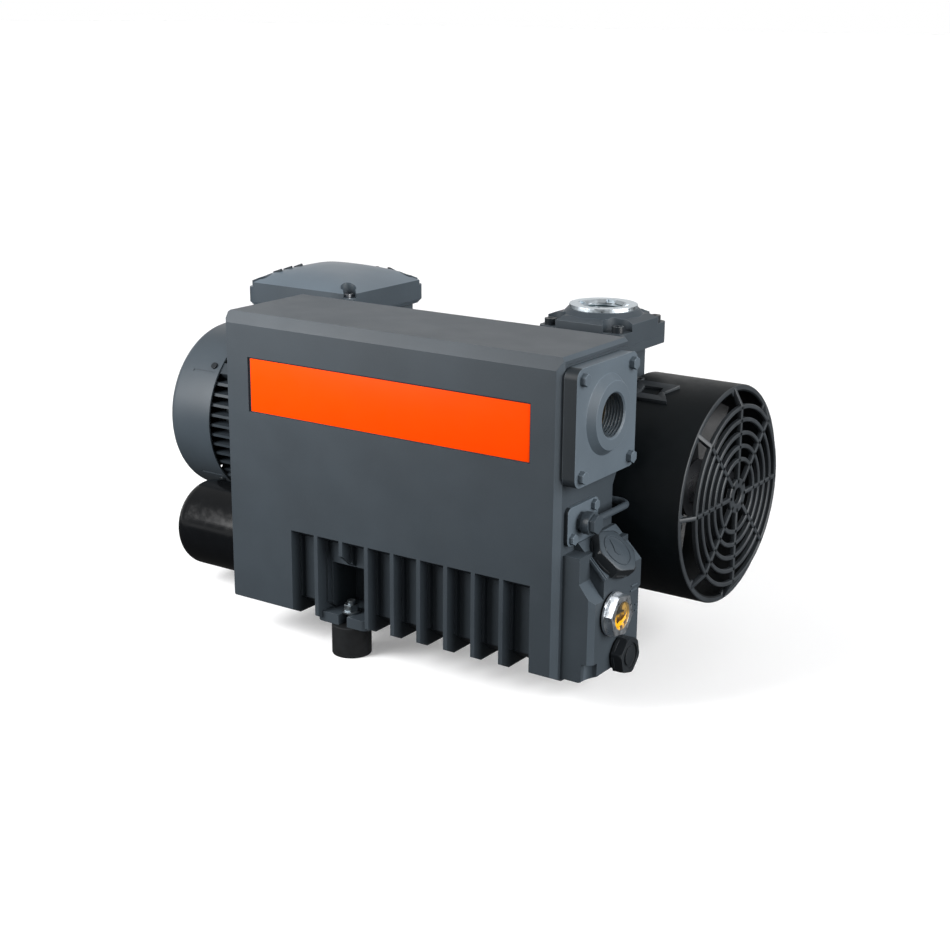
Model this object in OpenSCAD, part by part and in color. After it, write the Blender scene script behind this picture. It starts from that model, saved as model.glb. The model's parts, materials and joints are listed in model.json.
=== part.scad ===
// Oil-lubricated rotary vane vacuum pump with a flanged electric motor, an oil separator
// with exhaust filter, a non-return inlet valve and an axial cooling fan.
// Frame: millimetres, +X from motor to fan, +Y away from the oil separator's front, +Z up.
// The origin is on the floor, under the centre of the pump.

/* [Shaft] */
// Distance of the shaft centre line behind the origin
shaft_y = 43.5; // [43:0.25:44]
// Height of the shaft centre line above the floor
shaft_z = 127.5; // [127:0.25:128]
// Radius of the pump shaft
shaft_r = 12; // [11:0.5:12]

/* [Oil separator] */
// Left end of the separator casting
os_left = -94.5; // [-95:0.25:-94]
// Length of the separator casting
os_length = 292; // [291:0.5:293]
// Front face of the separator casting
os_front = -125; // [-126:0.5:-125]
// Height of the top face above the floor
os_top = 252; // [250:0.5:254]
// Height of the underside above the floor
os_bottom = 24; // [23:0.5:24]
// Wall thickness of the separator casting
os_wall = 5; // [4:0.5:6]
// Number of open pockets in the ribbed lower panel
pocket_count = 9; // [7:1:9]
// Pitch of the ribs
rib_pitch = 23.45; // [23:0.05:23.5]
// Thickness of a rib
rib_t = 3.3; // [2.5:0.1:4]

/* [Ports] */
// Wall radius of the G1 threads, at their minor diameter
port_r = 15.15; // [15:0.05:15.3]
// Height of the exhaust port above the floor
exhaust_z = 208.3; // [207:0.1:209]
// Position of the inlet port along the shaft
inlet_x = 132.5; // [132:0.25:133]

/* [Pump stage] */
// Radius of the cylinder bore
bore_r = 40.3; // [40.3:0.05:40.6]
// Radius of the rotor
rotor_r = 35; // [34.8:0.1:35]
// Offset of the bore centre from the shaft
eccentricity = 5; // [4.5:0.1:5]
// Thickness of a vane
vane_t = 4.1; // [3.8:0.1:4.1]
// Height of a vane, tip to root
vane_h = 21; // [19:0.5:21]

/* [Motor] */
// Radius of the finned stator housing over its tube
housing_r = 56; // [55:0.5:56]
// Outer radius of the motor fan cowl
cowl_r = 73; // [72:0.5:74]
// Pitch of the cooling fins
fin_pitch = 8.5; // [8:0.25:9]

/* [Fan hood] */
// Outer radius of the fan hood
hood_r = 81.5; // [80.5:0.1:81.5]
// Wall thickness of the fan hood
hood_t = 2.5; // [2:0.1:3]
// Number of spokes in the grille
spoke_count = 8; // [6:1:10]
// Number of concentric rings in the grille
ring_count = 5; // [3:1:6]
// Number of blades on the axial fan
blade_count = 7; // [5:1:9]

/* [Feet] */
// Radius of a rubber foot
foot_r = 15; // [13:0.5:15]
// Radius of the tapped hole under a foot, at the M6 minor diameter
foot_tap_r = 2.5; // [2.4:0.05:2.6]

/* [Hidden] */
$fn = 96;
eps = 0.5;

// Separator
os_right = os_left + os_length;
os_back = -36;
os_low_back = -51.5;
panel_corner_r = 11;
rib_x0 = os_left + 60;
pocket_top = 92;
label = [-73, 174.4, 177.9, 219.5]; // left, right, bottom, top
exhaust_y = -82.2;
cover_bolts = [for (y = [-33, 33], z = [-33, 33]) [exhaust_y + y, 205 + z]];
service_axis = [-99.9, 136.2];
service_bolts = [[-83.2, 144.2], [-111.4, 126.5]];
filter_r = 29;

// Sump nose: fill plug, sight glass and drain
nose_x = 221.8;
glass_axis = [-92.6, 72.4];
drain_axis = [-80.1, 39.1];
fill_base = [213.9, -83, 108.3];
port_thread_r = 10.4;
drain_thread_r = 8.1;
fit_gap = 0.05;

// Float valve
float_pivot = [150, -80, 60];
float_arm = 46;

// Pump stage
cyl_x0 = 65;
cyl_x1 = 165;
bore_y = shaft_y + eccentricity * cos(45);
bore_z = shaft_z - eccentricity * sin(45);
cyl_r = 54;
plate_r = 60;
plate_x0 = 51;
plate_x1 = 178;
stage_bolt_r = 47.2;
stage_bolts = 8;
end_gap = 0.3;
duct = [75, 155, 104, 150]; // left, right, bottom, top of the exhaust duct block
reed_z = 140;

// Inlet stack
inlet_y = shaft_y;
block_half = 36;
block_z0 = 233;
block_z1 = 251;
ring_z0 = 254.6;
ring_top = 257.5;
screw_off = 28.5;
stem_r = 2.5;

// Spin-on oil filter
can_y = -46;
can_z = 50.2;
can_r = 36;

// Coupling and motor
hub_r = 25;
motor_shaft_r = 9.5;
cowl_x0 = -250;
cowl_x1 = -204;
cowl_screw_angles = [40.4, 139.6, 226.3, 313.7];
cowl_groove_angles = [35.5, 144.5, 221.4, 318.6];
shield_x0 = -56;
shield_x1 = -34;
box_x = -122;
box_y = 42.5;
box_z0 = 184;
gland_z = 208;

// Fan hood
hood_x0 = 171;
hood_x1 = 243;
grille_x = 250;
grille_r = 68;
grille_hub_r = 13;

// Feet: positions and the pad that each bolt clamps
feet = [[10.3, -110], [-45.5, 85], [112, 85]];
pad_t = 8;

casting = [0.27, 0.30, 0.32];
dark = [0.08, 0.09, 0.10];
steel = [0.70, 0.72, 0.74];
iron = [0.42, 0.43, 0.45];

// ---------- helpers ----------
// Cylinder along X, Y or Z between two planes
module bar_x(x0, x1, y, z, r) { translate([x0, y, z]) rotate([0, 90, 0]) cylinder(h = x1 - x0, r = r); }
module bar_y(y0, y1, x, z, r) { translate([x, y0, z]) rotate([-90, 0, 0]) cylinder(h = y1 - y0, r = r); }
module bar_z(z0, z1, x, y, r) { translate([x, y, z0]) cylinder(h = z1 - z0, r = r); }

// Cylinder on the shaft centre line
module on_shaft(x0, x1, r) { bar_x(x0, x1, shaft_y, shaft_z, r); }

// Box between two corners, given as ranges
module block(x, y, z) {
    translate([x[0], y[0], z[0]]) cube([x[1] - x[0], y[1] - y[0], z[1] - z[0]]);
}

// Outline of [y, z] points drawn along X
module side_profile(x0, x1, points) {
    translate([x0, 0, 0]) rotate([90, 0, 90]) linear_extrude(x1 - x0) polygon(points);
}

// Outline of [x, z] points drawn along Y
module front_profile(y0, y1, points) {
    translate([0, y1, 0]) rotate([90, 0, 0]) linear_extrude(y1 - y0) polygon(points);
}

// Outline of [x, y] points drawn along Z
module plan_profile(z0, z1, points) {
    translate([0, 0, z0]) linear_extrude(z1 - z0) polygon(points);
}

// Plate facing along X with rounded corners
module round_plate_x(x, y, z, r) {
    block(x, [y[0] + r, y[1] - r], z);
    block(x, y, [z[0] + r, z[1] - r]);
    for (cy = [y[0] + r, y[1] - r], cz = [z[0] + r, z[1] - r]) bar_x(x[0], x[1], cy, cz, r);
}

// Hexagon prism of a given width across flats, along Z
module hex(af, h) { cylinder(h = h, r = af / 2 / cos(30), $fn = 6); }

// Hexagon head screw facing +X: head on the plane x, shank behind it
module screw_x(x, y, z, af, head, r, length) {
    translate([x, y, z]) rotate([0, 90, 0]) hex(af, head);
    bar_x(x - length, x, y, z, r);
}

// Copies placed around the shaft, the first one pointing along +Y
module around_shaft(count, start = 0) {
    for (i = [0 : count - 1])
        translate([0, shaft_y, shaft_z]) rotate([start + i * 360 / count, 0, 0]) children();
}

// Copies at given angles around the shaft, measured from +Y towards +Z
module at_angles(angles) {
    for (a = angles) translate([0, shaft_y, shaft_z]) rotate([a, 0, 0]) children();
}

// Positions of the bolts that hold an end plate, around the bore centre
function stage_bolt(i) = let (a = 22.5 + i * 360 / stage_bolts)
    [bore_y + stage_bolt_r * cos(a), bore_z + stage_bolt_r * sin(a)];

// ---------- oil separator ----------
// Outer form: chamfered profile with a rounded lower left corner
module separator_body() {
    intersection() {
        union() {
            block([os_left, os_right], [os_front, os_back], [os_bottom + panel_corner_r, os_top]);
            block([os_left + panel_corner_r, -50], [os_front, os_back], [os_bottom, 60]);
            block([-50.1, rib_x0 - 3], [os_front, os_back], [os_bottom + 3, 60]);
            block([rib_x0 - 3.1, os_right], [os_front, os_back], [os_bottom, 60]);
            bar_y(os_front, os_back, os_left + panel_corner_r, os_bottom + panel_corner_r, panel_corner_r);
        }
        side_profile(os_left - 1, os_right + 1, [
            [os_front, os_bottom + 4.7], [os_front + 9.3, os_bottom], [os_low_back, os_bottom],
            [os_low_back, 150], [os_back, 176], [os_back, os_top],
            [os_front + 5.1, os_top], [os_front, os_top - 8.3]
        ]);
        plan_profile(os_bottom - 1, os_top + 1, [
            [os_left, os_front + 1.5], [os_left + 1.5, os_front], [os_right - 4, os_front],
            [os_right, os_front + 4.5], [os_right, os_back + 1], [os_left, os_back + 1]
        ]);
        front_profile(os_front - 1, os_back + 1, [
            [os_left, os_bottom - 1], [os_right, os_bottom - 1], [os_right, os_top - 2.6],
            [os_right - 2.6, os_top], [os_left + 1.5, os_top], [os_left, os_top - 1.5]
        ]);
    }
}

// Sump nose that carries the fill plug, the sight glass and the drain
module sump_nose() {
    difference() {
        union() {
            intersection() {
                front_profile(-117.6, -50.6, [
                    [190, 27], [212, 27], [nose_x, 31], [nose_x, 84.7], [218.1, 88.4],
                    [210.7, 97.7], [210.7, 116], [190, 116]
                ]);
                plan_profile(20, 130, [
                    [190, -117.6], [nose_x - 3.7, -117.6], [nose_x, -113.9],
                    [nose_x, -53], [nose_x - 2.4, -50.6], [190, -50.6]
                ]);
            }
            front_profile(-103, -50.6, [
                [195, 80], [nose_x, 80], [nose_x, 100.4], [200.7, 121.5], [195, 121.5]
            ]);
        }
        bar_z(os_bottom, 41, nose_x - 1.5, -116, 6.5);
    }
}

// One pocket of the ribbed panel, with a stepped back, a sloping roof and a scoop at the foot
module pocket(x0, x1) {
    side_profile(x0, x1, [
        [os_front - 1, pocket_top + 0.6], [-115.5, pocket_top - 5], [-115.5, 20], [os_front - 1, 20]
    ]);
    side_profile(x0 + 2.2, x1 - 1, [
        [-120, pocket_top - 2.5], [-112, pocket_top - 7], [-112, 20], [-120, 20]
    ]);
    side_profile(x0, x1, [[-116, 38], [-112, 36], [-105, 30], [-92, 27], [-92, 20], [-116, 20]]);
}

module oil_separator_housing() {
    color(casting) difference() {
        union() {
            difference() {
                separator_body();
                // hollow for oil and exhaust filter
                difference() {
                    side_profile(os_left + os_wall, os_right - os_wall, [
                        [-107, 44], [-107, 92], [-119.4, 101], [-119.4, 241], [-116, 247],
                        [-41, 247], [-41, 178], [-56.5, 152], [-56.5, 33], [-92, 33]
                    ]);
                    block([-10, 39.6], [-108, -79], [24, 75]);
                    for (b = concat(cover_bolts, service_bolts))
                        bar_x(182, os_right, b[0], b[1], 5.5);
                }
                for (i = [0 : pocket_count - 1])
                    pocket(rib_x0 + i * rib_pitch + (i == 0 ? 0 : rib_t / 2),
                           rib_x0 + (i + 1) * rib_pitch - (i == pocket_count - 1 ? 0 : rib_t / 2));
                // window over the front foot, below a rib cut short
                block([-5.2, 34.2], [-113, -84], [os_bottom - 1, 69.5]);
                side_profile(9, 17, [[os_front - 1, 81.3], [-112, 70], [-112, 20], [os_front - 1, 20]]);
            }
            sump_nose();
            // bracket that the front foot is bolted to
            block([-15, 33], [-115, -80], [os_bottom, os_bottom + pad_t]);
            block([-9, 27], [-121, -114], [os_bottom, os_bottom + pad_t]);
            for (x = [-9, 27]) bar_z(os_bottom, os_bottom + pad_t, x, -115, 6);
        }
        // slot of the foot bracket
        block([feet[0][0] - 4, feet[0][0] + 4], [-122, feet[0][1]], [os_bottom - 1, os_bottom + pad_t + 1]);
        bar_z(os_bottom - 1, os_bottom + pad_t + 1, feet[0][0], feet[0][1], 4);
        // groove along the top of the right end
        block([os_right - 0.8, os_right + 1], [os_front + 7, os_back + 1], [os_top - 5.4, os_top - 4.2]);
        block([label[0], label[1]], [os_front - 1, os_front + 1.6], [label[2], label[3]]);
        // ports in the right end and in the back
        bar_x(190, os_right + 1, exhaust_y, exhaust_z, 31);
        bar_x(190, os_right + 1, service_axis[0], service_axis[1], 5.5);
        block([84, 146], [-58, -50], [duct[2] + 6, duct[3] - 6]);
        for (b = cover_bolts) bar_x(183, os_right + 1, b[0], b[1], 2.5 + fit_gap);
        for (b = service_bolts) bar_x(185, os_right + 1, b[0], b[1], 2 + fit_gap);
        // inside of the nose and its three threads
        block([190, nose_x - 7], [-109, -57], [33, 82]);
        bar_x(210, nose_x + 1, glass_axis[0], glass_axis[1], port_thread_r + fit_gap);
        bar_x(210, nose_x + 1, drain_axis[0], drain_axis[1], drain_thread_r + fit_gap);
        translate(fill_base) rotate([0, 45, 0]) {
            translate([0, 0, -36]) cylinder(h = 50, r = port_thread_r + fit_gap);
            // spot face under the plug's flange
            cylinder(h = 30, r = 18.9);
        }
    }
}

module label_plate() {
    color("orangered") block([label[0] + 0.4, label[1] - 0.4],
        [os_front + 0.6, os_front + 1.6], [label[2] + 0.4, label[3] - 0.4]);
}

// Cover plate outline between two planes, with its bolt holes
module cover_outline(x0, x1, inset) {
    difference() {
        round_plate_x([x0, x1], [-123 + inset, -41.3 - inset], [164.6 + inset, 245.5 - inset], 7);
        for (b = cover_bolts) bar_x(x0 - 1, x1 + 1, b[0], b[1], 2.5 + fit_gap);
    }
}

module exhaust_cover() {
    color([0.45, 0.48, 0.50]) difference() {
        union() {
            cover_outline(os_right + 1, 208.3, 0);
            translate([208.3, exhaust_y, exhaust_z]) rotate([0, 90, 0])
                cylinder(h = 5.3, r1 = 28, r2 = 23.7);
        }
        bar_x(os_right, 214, exhaust_y, exhaust_z, port_r);
        translate([212.4, exhaust_y, exhaust_z]) rotate([0, 90, 0])
            cylinder(h = 1.21, r1 = port_r, r2 = port_r + 1.2);
    }
}

module exhaust_cover_gasket() {
    color(dark) difference() {
        cover_outline(os_right, os_right + 1, 0.8);
        bar_x(os_right - 1, os_right + 2, exhaust_y, exhaust_z, 31);
    }
}

module exhaust_cover_bolts() {
    color(casting) for (b = cover_bolts) screw_x(208.3, b[0], b[1], 8, 4, 2.5, 24);
}

// Filter element: a pleated tube, closed at the left, with a sealing flange
module exhaust_filter() {
    color("ivory") difference() {
        union() {
            bar_x(-60, 190, exhaust_y, exhaust_z, filter_r);
            bar_x(188, 192.4, exhaust_y, exhaust_z, 34);
            bar_x(192, 196.5, exhaust_y, exhaust_z, 30.8);
        }
        bar_x(-56, 200, exhaust_y, exhaust_z, 20);
    }
}

module service_cover() {
    color([0.45, 0.48, 0.50]) difference() {
        round_plate_x([os_right, os_right + 3.2], [-117.2, -76.6], [121.8, 148.8], 4);
        bar_x(os_right - 1, os_right + 4, service_axis[0], service_axis[1], 5 + fit_gap);
        for (b = service_bolts) bar_x(os_right - 1, os_right + 4, b[0], b[1], 2 + fit_gap);
    }
}

module service_cover_bolts() {
    color(casting) for (b = service_bolts) screw_x(os_right + 3.2, b[0], b[1], 7, 3, 2, 14);
}

// Hollow bolt and nut that clamp the return pipe's eye to the service cover
module banjo_fitting() {
    color([0.5, 0.52, 0.54]) {
        screw_x(210.4, service_axis[0], service_axis[1], 12, 4, 4.9, 20);
        difference() {
            translate([os_right + 3.2, service_axis[0], service_axis[1]]) rotate([0, 90, 0]) hex(12, 3.5);
            bar_x(os_right + 3, 205, service_axis[0], service_axis[1], 4.95);
        }
    }
}

// Oil return pipe: eye, run along Y, elbow, run along X into the cylinder casting
module oil_return_pipe() {
    pipe_r = 2.5;
    bend_r = 9.5;
    px = 207.3;
    pz = service_axis[1];
    corner = -52;
    color([0.5, 0.52, 0.54]) {
        difference() {
            union() {
                bar_x(204.3, 210.3, service_axis[0], pz, 8);
                bar_y(service_axis[0] + 6.5, corner, px, pz, pipe_r);
            }
            bar_x(204, 211, service_axis[0], pz, 4.95);
        }
        translate([px - bend_r, corner, pz]) rotate_extrude(angle = 90)
            translate([bend_r, 0]) circle(r = pipe_r);
        bar_x(duct[1] - 3, px - bend_r, corner + bend_r, pz, pipe_r);
        translate([duct[1], corner + bend_r, pz]) rotate([0, 90, 0]) difference() {
            hex(11, 6);
            translate([0, 0, -1]) cylinder(h = 8, r = pipe_r);
        }
    }
}

// Screwed plug seen along its own axis, with its flange on the plane z = 0
module screw_plug(af, flange_r, thread_r, thread_l, head) {
    translate([0, 0, -thread_l]) cylinder(h = thread_l + 1, r = thread_r);
    cylinder(h = 2.2, r = flange_r);
    difference() {
        intersection() {
            rotate([0, 0, 15]) hex(af, head);
            // corners rounded off towards the face
            cylinder(h = head, r1 = af / 2 / cos(30) + 2, r2 = af / 2 / cos(30) - 0.9);
        }
        translate([0, 0, head - 1.2]) difference() {
            cylinder(h = 2, r = af / 2 - 2.6);
            translate([0, 0, -1]) cylinder(h = 4, r = af / 2 - 5);
        }
    }
}

module oil_fill_plug() {
    color(dark) translate(fill_base) rotate([0, 45, 0]) screw_plug(32, 17.2, port_thread_r, 13, 8.8);
}

module oil_port_seals() {
    color(dark) {
        difference() {
            bar_x(nose_x, nose_x + 1.6, glass_axis[0], glass_axis[1], 15);
            bar_x(nose_x - 1, nose_x + 3, glass_axis[0], glass_axis[1], port_thread_r + fit_gap);
        }
        difference() {
            bar_x(nose_x, nose_x + 1.6, drain_axis[0], drain_axis[1], 12);
            bar_x(nose_x - 1, nose_x + 3, drain_axis[0], drain_axis[1], drain_thread_r + fit_gap);
        }
    }
}

module sight_glass_body() {
    color(steel) difference() {
        union() {
            bar_x(212, nose_x + 3, glass_axis[0], glass_axis[1], port_thread_r);
            bar_x(nose_x + 1.6, nose_x + 3.4, glass_axis[0], glass_axis[1], 15.6);
            translate([nose_x + 3.2, glass_axis[0], glass_axis[1]]) rotate([0, 90, 0]) intersection() {
                rotate([0, 0, 20]) hex(27, 6);
                cylinder(h = 6, r1 = 18.2, r2 = 15.2);
            }
        }
        bar_x(211, nose_x + 10, glass_axis[0], glass_axis[1], 8.4);
        bar_x(nose_x + 5, nose_x + 10, glass_axis[0], glass_axis[1], 10);
    }
}

module sight_glass_lens() {
    color("orange") {
        bar_x(214, nose_x + 5, glass_axis[0], glass_axis[1], 8.35);
        bar_x(nose_x + 5, nose_x + 7.6, glass_axis[0], glass_axis[1], 9.95);
    }
}

module oil_drain_plug() {
    color(dark) translate([nose_x + 1.6, drain_axis[0], drain_axis[1]]) rotate([0, 90, 0])
        screw_plug(24, 13, drain_thread_r, 12, 8.4);
}

// Float with its arm and pivot eye, lying low
module float() {
    color("goldenrod") difference() {
        union() {
            bar_y(-83, -77, float_pivot[0], float_pivot[2], 4);
            translate([float_pivot[0] - float_arm, -81.5, float_pivot[2] - 1.5]) cube([float_arm, 3, 3]);
            bar_y(-91, -69, float_pivot[0] - float_arm, float_pivot[2] - 3, 12);
        }
        bar_y(-84, -76, float_pivot[0], float_pivot[2], 1.56);
    }
}

module float_bracket() {
    color(steel) {
        block([140, 160], [-90, -70], [33, 35]);
        for (y = [-87, -75]) block([145, 155], [y, y + 2], [35, 66]);
        bar_y(-87, -73, float_pivot[0], float_pivot[2], 1.5);
    }
}

// ---------- pump stage ----------
module pump_cylinder() {
    neck = 24;
    color(casting) difference() {
        union() {
            bar_x(cyl_x0, cyl_x1, bore_y, bore_z, cyl_r);
            for (x = [71 : 11 : 159]) bar_x(x, x + 3.5, bore_y, bore_z, 60);
            block([duct[0], duct[1]], [os_low_back, 10], [duct[2], duct[3]]);
            block([inlet_x - neck, inlet_x + neck], [inlet_y - neck, inlet_y + neck], [150, 228]);
            inlet_square(227, block_z0);
            block([100, 124], [62, 72], [os_bottom, 110]);
            block([100, 124], [62, 100], [os_bottom, os_bottom + pad_t]);
        }
        bar_x(cyl_x0 - 1, cyl_x1 + 1, bore_y, bore_z, bore_r);
        // inlet channel, with a bridge left standing to guide the valve stem
        difference() {
            bar_z(150, 214, inlet_x, inlet_y, 14);
            difference() {
                block([inlet_x - 16, inlet_x + 16], [inlet_y - 4.5, inlet_y + 4.5], [204, 212]);
                bar_z(203, 213, inlet_x, inlet_y, stem_r + 0.06);
            }
        }
        bar_z(213.9, block_z0 + 1, inlet_x, inlet_y, 18.5);
        for (x = [-screw_off, screw_off], y = [-screw_off, screw_off])
            bar_z(226, block_z0 + 1, inlet_x + x, inlet_y + y, 2.5 + fit_gap);
        // exhaust ports, valve chamber and oil return
        block([duct[0] + 7, duct[1] - 7], [os_low_back - 1, -12], [duct[2] + 4, duct[3] - 4]);
        for (x = [95, 115, 135]) bar_y(-13, 14, x, 128, 4);
        bar_x(duct[1] - 8, duct[1] + 1, -42.5, service_axis[1], 2.5 + fit_gap);
        for (i = [0 : stage_bolts - 1], x = [cyl_x0 - 1, cyl_x1 - 15])
            bar_x(x, x + 16, stage_bolt(i)[0], stage_bolt(i)[1], 3 + fit_gap);
        bar_z(os_bottom - 1, os_bottom + pad_t + 1, feet[2][0], feet[2][1], 3 + fit_gap);
    }
}

// End plate with a bush pocket and, outside it, a seal pocket
module end_plate(x0, x1, bush, seal) {
    difference() {
        on_shaft(x0, x1, plate_r);
        on_shaft(x0 - 1, x1 + 1, 14);
        on_shaft(bush[0], bush[1], 17);
        on_shaft(seal[0], seal[1], 20);
        for (i = [0 : stage_bolts - 1])
            bar_x(x0 - 1, x1 + 1, stage_bolt(i)[0], stage_bolt(i)[1], 3 + fit_gap);
    }
}

module motor_side_end_plate() {
    color(iron) end_plate(plate_x0, cyl_x0, [56, cyl_x0 + 1], [plate_x0 - 1, 56]);
}

module fan_side_end_plate() {
    color(iron) end_plate(cyl_x1, plate_x1, [cyl_x1 - 1, 173], [173, plate_x1 + 1]);
}

module end_plate_bolts() {
    color(steel) for (i = [0 : stage_bolts - 1]) {
        screw_x(plate_x1, stage_bolt(i)[0], stage_bolt(i)[1], 10, 4, 3, 25);
        mirror([1, 0, 0]) screw_x(-plate_x0, stage_bolt(i)[0], stage_bolt(i)[1], 10, 4, 3, 25);
    }
}

// Direction of a vane around the shaft; vane 0 points at the widest part of the bore
function vane_angle(k) = -45 + 120 * k;

module rotor() {
    slot_floor = rotor_r - vane_h - 0.8;
    color(steel) difference() {
        union() {
            on_shaft(cyl_x0 + end_gap, cyl_x1 - end_gap, rotor_r);
            on_shaft(14, 232, shaft_r);
        }
        for (k = [0 : 2]) translate([cyl_x0, shaft_y, shaft_z]) rotate([vane_angle(k), 0, 0])
            translate([0, slot_floor, -vane_t / 2 - 0.1]) cube([cyl_x1 - cyl_x0, 40, vane_t + 0.2]);
    }
}

// Vane in its slot, drawn fully in
module vane(k) {
    color("saddlebrown") translate([cyl_x0 + 0.4, shaft_y, shaft_z]) rotate([vane_angle(k), 0, 0])
        translate([0, rotor_r - 0.3 - vane_h, -vane_t / 2]) cube([cyl_x1 - cyl_x0 - 0.8, vane_h, vane_t]);
}

module vane_1() { vane(0); }
module vane_2() { vane(1); }
module vane_3() { vane(2); }

// Ring around the shaft
module shaft_ring(x0, x1, outer, inner) {
    difference() {
        on_shaft(x0, x1, outer);
        on_shaft(x0 - 1, x1 + 1, inner);
    }
}

module shaft_bushes() {
    color("peru") {
        shaft_ring(56, cyl_x0, 17, shaft_r + fit_gap);
        shaft_ring(cyl_x1, 173, 17, shaft_r + fit_gap);
    }
}

module shaft_seals() {
    color(dark) {
        shaft_ring(plate_x0 + 0.3, 56, 20, shaft_r + fit_gap);
        shaft_ring(173, plate_x1 - 0.3, 20, shaft_r + fit_gap);
    }
}

module exhaust_valve_reed() {
    color(steel) block([88, 142], [-13.1, -12.1], [reed_z - 21, reed_z]);
}

// Clamp bar and bent stop that limit the reed's lift
module exhaust_valve_stop() {
    color(iron) {
        block([88, 142], [-19, -12], [reed_z + 0.4, duct[3] - 4.2]);
        block([88, 142], [-19, -17.4], [reed_z - 22, reed_z + 3]);
        for (x = [98, 132]) bar_y(-21, -18, x, reed_z + 3, 2.7);
    }
}

// ---------- inlet ----------
// Square with rounded corners around the inlet axis
module inlet_square(z0, z1) {
    corner = 6;
    side = block_half - corner;
    block([inlet_x - side, inlet_x + side], [inlet_y - block_half, inlet_y + block_half], [z0, z1]);
    block([inlet_x - block_half, inlet_x + block_half], [inlet_y - side, inlet_y + side], [z0, z1]);
    for (x = [-side, side], y = [-side, side]) bar_z(z0, z1, inlet_x + x, inlet_y + y, corner);
}

// Roof with sloping edges, as an outline across the flange
function flange_roof(c) = [
    [c - block_half - 1, block_z0 - 1], [c + block_half + 1, block_z0 - 1],
    [c + block_half + 1, block_z1 - 3.1], [c + block_half - 6.5, block_z1],
    [c - block_half + 6.5, block_z1], [c - block_half - 1, block_z1 - 3.1]
];

module inlet_flange() {
    pocket_r = 11.2;
    color(casting) difference() {
        union() {
            intersection() {
                inlet_square(block_z0, block_z1);
                front_profile(inlet_y - 50, inlet_y + 50, flange_roof(inlet_x));
                side_profile(inlet_x - 50, inlet_x + 50, flange_roof(inlet_y));
            }
            translate([inlet_x, inlet_y, block_z1 - 0.5])
                cylinder(h = ring_z0 - block_z1 + 0.5, r1 = 30.5, r2 = 26.8);
        }
        bar_z(block_z0 - 1, 242, inlet_x, inlet_y, 18.5);
        bar_z(241, ring_z0 + 1, inlet_x, inlet_y, 20 + fit_gap);
        // screw holes, each in a round pocket that is open at the corner
        for (a = [45 : 90 : 315]) translate([inlet_x, inlet_y, 0]) rotate([0, 0, a])
            translate([screw_off * sqrt(2), 0, 0]) {
                translate([0, 0, block_z0 - 1]) cylinder(h = 20, r = 2.5 + fit_gap);
                translate([0, 0, 243]) cylinder(h = 20, r = pocket_r);
                translate([0, -pocket_r + 0.1, 243]) cube([30, 2 * pocket_r - 0.2, 20]);
            }
    }
}

module inlet_flange_screws() {
    color(steel) for (x = [-screw_off, screw_off], y = [-screw_off, screw_off])
        translate([inlet_x + x, inlet_y + y, 243]) {
            difference() {
                cylinder(h = 4.6, r = 4.6);
                translate([0, 0, 2.2]) hex(4, 4);
            }
            translate([0, 0, -15]) cylinder(h = 15, r = 2.5);
        }
}

// Plated ring with the G1 thread; its lower edge is the seat of the valve
module inlet_thread_ring() {
    color([0.85, 0.88, 0.9]) difference() {
        union() {
            bar_z(241, ring_z0 + 1, inlet_x, inlet_y, 20);
            bar_z(ring_z0, ring_top, inlet_x, inlet_y, 25.6);
        }
        bar_z(240, ring_top + 1, inlet_x, inlet_y, port_r);
        bar_z(240, 242.5, inlet_x, inlet_y, 16.5);
        translate([inlet_x, inlet_y, ring_top - 2.4]) cylinder(h = 2.41, r1 = port_r, r2 = port_r + 2.4);
        // slots for a key that screws the ring in
        for (a = [10 : 90 : 280]) translate([inlet_x, inlet_y, ring_top - 2.2]) rotate([0, 0, a])
            translate([12, -3.5, 0]) cube([7.2, 7, 3]);
    }
}

module inlet_screen() {
    hole = 3.4;
    color(steel) difference() {
        bar_z(241, 242.4, inlet_x, inlet_y, 16.4);
        for (i = [-3 : 3], j = [-3 : 3]) if (norm([i, j]) < 3.3)
            translate([inlet_x + 4.3 * i - hole / 2, inlet_y + 4.3 * j - hole / 2, 240])
                cube([hole, hole, 4]);
    }
}

module inlet_valve_disc() {
    color(steel) {
        bar_z(237.4, 240.7, inlet_x, inlet_y, 17.4);
        bar_z(204.5, 237.5, inlet_x, inlet_y, stem_r);
    }
}

// Closing spring, as a stack of turns between the bridge and the disc
module inlet_valve_spring() {
    turns = 6;
    color(steel) for (i = [0 : turns - 1])
        translate([inlet_x, inlet_y, 213.2 + i * (236.2 - 213.2) / (turns - 1)])
            rotate_extrude() translate([8, 0]) circle(r = 0.9);
}

// ---------- spin-on filter ----------
module oil_filter_head() {
    color(casting) difference() {
        union() {
            bar_x(-112, os_left, can_y, can_z, 30);
            block([os_left, -70], [-51.4, -20], [30, 72]);
        }
        bar_x(-113, -100, can_y, can_z, 9.1);
    }
}

module oil_filter() {
    can_x0 = -200;
    can_x1 = -112.2;
    dome = 12;
    color("black") translate([can_x1, can_y, can_z]) rotate([0, -90, 0]) {
        translate([0, 0, -11]) cylinder(h = 12, r = 9);
        cylinder(h = 3, r = can_r + 0.6);
        cylinder(h = can_x1 - can_x0 - dome, r = can_r);
        translate([0, 0, can_x1 - can_x0 - dome]) {
            cylinder(h = dome, r = can_r - dome);
            rotate_extrude() intersection() {
                translate([can_r - dome, 0]) circle(r = dome);
                translate([can_r - dome, 0]) square([dome, dome]);
            }
        }
    }
}

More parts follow.
